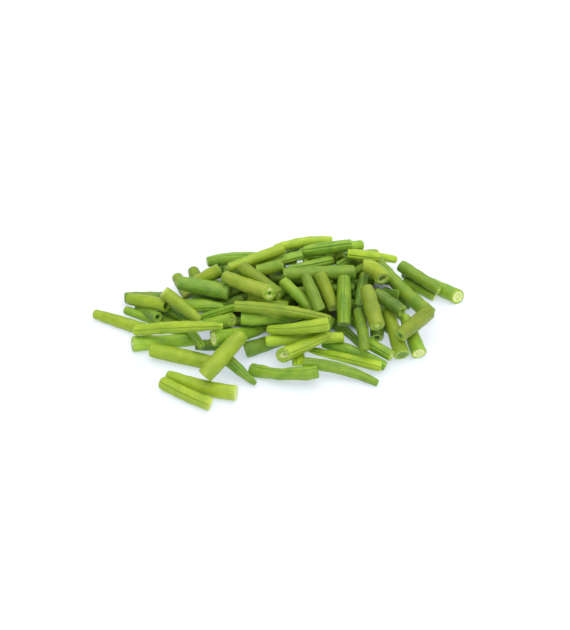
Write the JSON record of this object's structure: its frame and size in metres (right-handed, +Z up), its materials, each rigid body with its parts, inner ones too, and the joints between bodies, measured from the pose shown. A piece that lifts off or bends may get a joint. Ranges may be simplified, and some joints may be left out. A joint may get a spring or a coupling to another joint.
{
  "type": "heap of cut green beans",
  "caption": "Loose heap of freshly cut green bean pieces lying across each other on a table, bright green pods with pale cut ends.",
  "frame": {"origin": "middle of the heap's length and depth, on the table it lies on", "axes": "+X along the heap's length, +Y towards its back, +Z up"},
  "size_m": [0.2406, 0.165, 0.0459],
  "materials": {
    "bean_lime": "satin, slightly waxy pod skin",
    "bean_mid": "satin, slightly waxy pod skin",
    "bean_leaf": "satin, slightly waxy pod skin",
    "bean_olive": "satin, slightly waxy pod skin"
  },
  "bodies": {
    "root": {"bean_01": "bean_mid", "bean_02": "bean_leaf", "bean_03": "bean_mid", "bean_04": "bean_lime", "bean_05": "bean_mid", "bean_06": "bean_leaf", "bean_07": "bean_leaf", "bean_08": "bean_lime", "bean_09": "bean_mid", "bean_10": "bean_lime", "bean_11": "bean_lime", "bean_12": "bean_mid", "bean_13": "bean_mid", "bean_14": "bean_lime", "bean_15": "bean_leaf", "bean_16": "bean_mid", "bean_17": "bean_mid", "bean_18": "bean_lime", "bean_19": "bean_mid", "bean_20": "bean_leaf", "bean_21": "bean_lime", "bean_22": "bean_leaf", "bean_23": "bean_lime", "bean_24": "bean_mid", "bean_25": "bean_mid", "bean_26": "bean_lime", "bean_27": "bean_leaf", "bean_28": "bean_lime", "bean_29": "bean_lime", "bean_30": "bean_leaf", "bean_31": "bean_mid", "bean_32": "bean_lime", "bean_33": "bean_leaf", "bean_34": "bean_mid", "bean_35": "bean_mid", "bean_36": "bean_lime", "bean_37": "bean_olive", "bean_38": "bean_lime", "bean_39": "bean_mid", "bean_40": "bean_mid", "bean_41": "bean_lime", "bean_42": "bean_mid", "bean_43": "bean_olive", "bean_44": "bean_leaf", "bean_45": "bean_lime", "bean_46": "bean_olive", "bean_47": "bean_mid", "bean_48": "bean_mid", "bean_49": "bean_mid", "bean_50": "bean_olive", "bean_51": "bean_mid", "bean_52": "bean_lime", "bean_53": "bean_lime", "bean_54": "bean_lime", "bean_55": "bean_mid", "bean_56": "bean_olive", "bean_57": "bean_olive", "bean_58": "bean_lime", "bean_59": "bean_lime", "bean_60": "bean_lime"}
  },
  "joints": []
}
